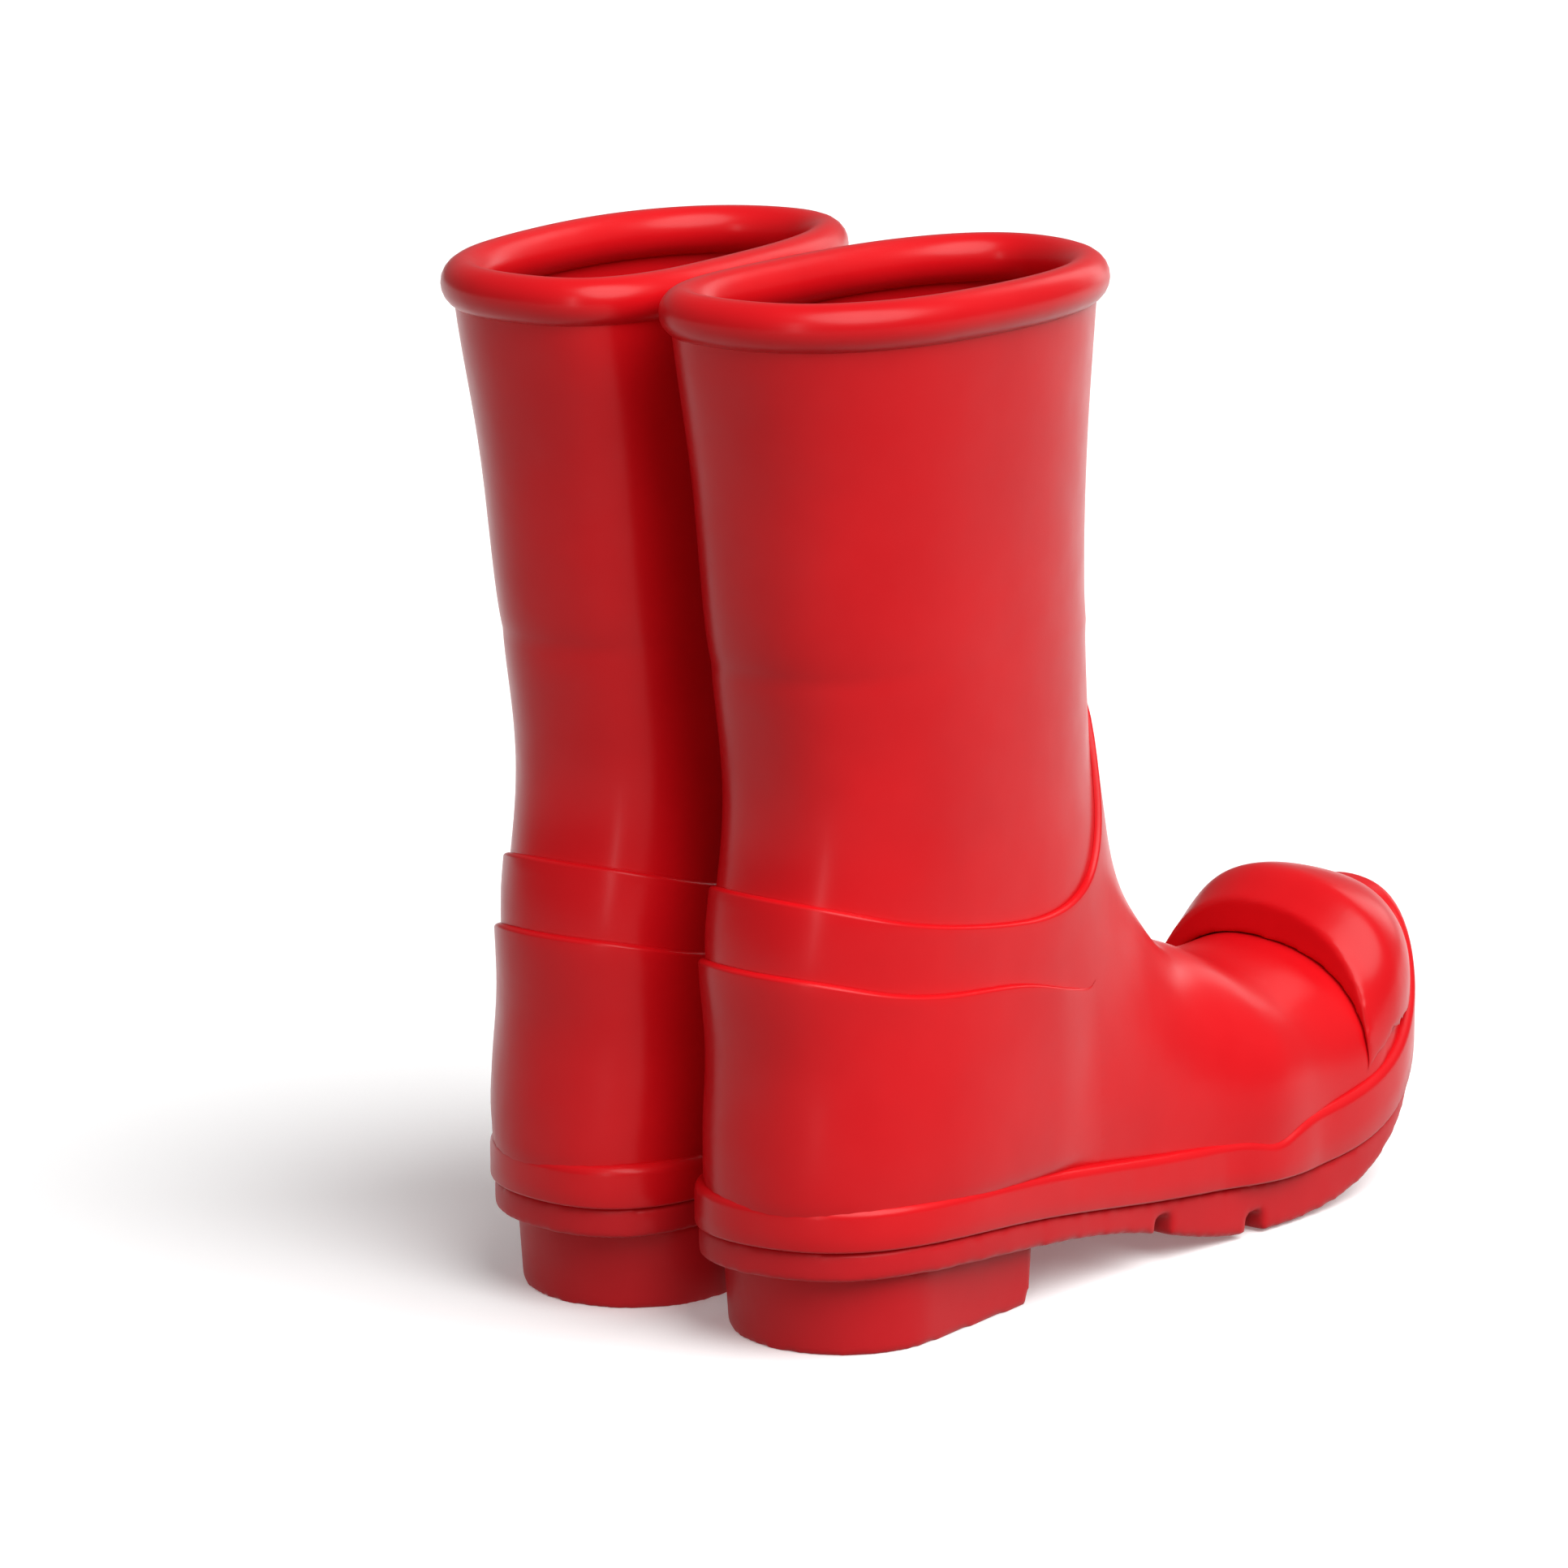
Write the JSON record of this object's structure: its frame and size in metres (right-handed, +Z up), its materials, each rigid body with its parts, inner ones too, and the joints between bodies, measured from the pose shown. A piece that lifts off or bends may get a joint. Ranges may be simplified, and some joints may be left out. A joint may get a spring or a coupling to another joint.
{
  "type": "rubber rain boot pair",
  "caption": "Pair of glossy rubber rain boots with rolled rims, overlaid foot and heel, upturned capped toes and block heels.",
  "frame": {"origin": "on the ground, under the middle of the space the pair covers, so in the plane between the two boots", "axes": "+Z up from the ground, -Y the way the toes point, +X towards the left boot's outer side; the plane X = 0 runs between the boots"},
  "size_m": [0.2046, 0.3208, 0.3102],
  "materials": {
    "glossy_red_rubber": "gloss",
    "red_sole_rubber": "satin",
    "rubber_sponge": "matte",
    "spring_steel": "brushed",
    "fibre_board": "matte",
    "stiff_rubberised_canvas": "matte",
    "knitted_lining": "matte",
    "insole_foam": "matte"
  },
  "bodies": {
    "right_boot": {"right_leg_shaft": "glossy_red_rubber", "right_rolled_rim": "glossy_red_rubber", "right_mouth_facing": "glossy_red_rubber", "right_foot_shell": "glossy_red_rubber", "right_heel_counter": "glossy_red_rubber", "right_toe_cap": "glossy_red_rubber", "right_welt": "glossy_red_rubber", "right_outsole": "red_sole_rubber", "right_heel_block": "red_sole_rubber", "right_heel_core": "rubber_sponge", "right_midsole_filler": "rubber_sponge", "right_arch_shank": "spring_steel", "right_insole_board": "fibre_board", "right_heel_stiffener": "stiff_rubberised_canvas", "right_toe_puff": "stiff_rubberised_canvas", "right_lining": "knitted_lining"},
    "left_boot": {"left_leg_shaft": "glossy_red_rubber", "left_rolled_rim": "glossy_red_rubber", "left_mouth_facing": "glossy_red_rubber", "left_foot_shell": "glossy_red_rubber", "left_heel_counter": "glossy_red_rubber", "left_toe_cap": "glossy_red_rubber", "left_welt": "glossy_red_rubber", "left_outsole": "red_sole_rubber", "left_heel_block": "red_sole_rubber", "left_heel_core": "rubber_sponge", "left_midsole_filler": "rubber_sponge", "left_arch_shank": "spring_steel", "left_insole_board": "fibre_board", "left_heel_stiffener": "stiff_rubberised_canvas", "left_toe_puff": "stiff_rubberised_canvas", "left_lining": "knitted_lining"},
    "right_insole": {"right_insole": "insole_foam"},
    "left_insole": {"left_insole": "insole_foam"}
  },
  "joints": [
    {"name": "left_boot_part", "type": "slide", "parent": "right_boot", "child": "left_boot", "axis": [1, 0, 0], "range_m": [0, 0.15]},
    {"name": "right_insole_peel", "type": "hinge", "parent": "right_boot", "child": "right_insole", "pos_m": [-0.0561, -0.14921, 0.06], "axis": [0.9981, -0.0611, 0], "range_deg": [0, 6]},
    {"name": "left_insole_peel", "type": "hinge", "parent": "left_boot", "child": "left_insole", "pos_m": [0.0561, -0.14921, 0.06], "axis": [0.9981, 0.0611, 0], "range_deg": [0, 6]}
  ]
}
